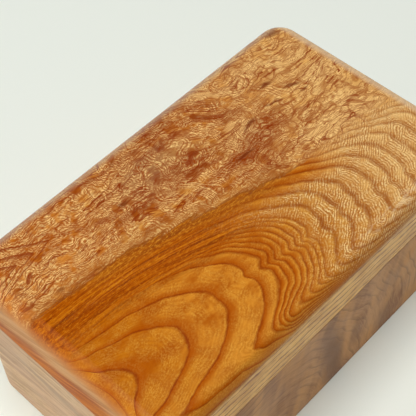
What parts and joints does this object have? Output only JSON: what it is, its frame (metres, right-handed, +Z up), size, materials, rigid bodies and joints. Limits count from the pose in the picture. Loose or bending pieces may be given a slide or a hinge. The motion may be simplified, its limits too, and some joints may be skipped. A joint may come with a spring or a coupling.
{
  "type": "hinged wooden box",
  "caption": "Rectangular box of figured hardwood with rounded corners, a thick solid hinged lid and a felt-floored compartment.",
  "frame": {"origin": "centre of the base, on the surface that the box stands on", "axes": "+X along the length to the right end, +Y to the back where the hinges are, +Z up"},
  "size_m": [0.2, 0.12, 0.092],
  "materials": {
    "lid_wood": "satin oiled, figured orange-brown hardwood",
    "side_wood": "satin oiled, figured brown hardwood",
    "end_wood": "satin oiled, straight-grained light brown hardwood",
    "panel_wood": "plain sanded hardwood",
    "spline_wood": "plain hardwood",
    "felt": "pressed wool felt",
    "hinge_brass": "satin",
    "pin_brass": "satin"
  },
  "bodies": {
    "case": {"front_side": "side_wood", "back_side": "side_wood", "left_end": "end_wood", "right_end": "end_wood", "bottom_panel": "panel_wood", "floor_felt": "felt", "spline_front_left": "spline_wood", "spline_front_right": "spline_wood", "spline_back_left": "spline_wood", "spline_back_right": "spline_wood", "hinge_left_case_leaf": "hinge_brass", "hinge_left_pin": "pin_brass", "hinge_left_case_screws": "pin_brass", "hinge_right_case_leaf": "hinge_brass", "hinge_right_pin": "pin_brass", "hinge_right_case_screws": "pin_brass"},
    "lid": {"lid_board": "lid_wood", "hinge_left_lid_leaf": "hinge_brass", "hinge_left_lid_screws": "pin_brass", "hinge_right_lid_leaf": "hinge_brass", "hinge_right_lid_screws": "pin_brass"}
  },
  "joints": [
    {"name": "lid_hinge", "type": "hinge", "parent": "case", "child": "lid", "pos_m": [0, 0.0564, 0.064], "axis": [-1, 0, 0], "range_deg": [0, 95]}
  ]
}
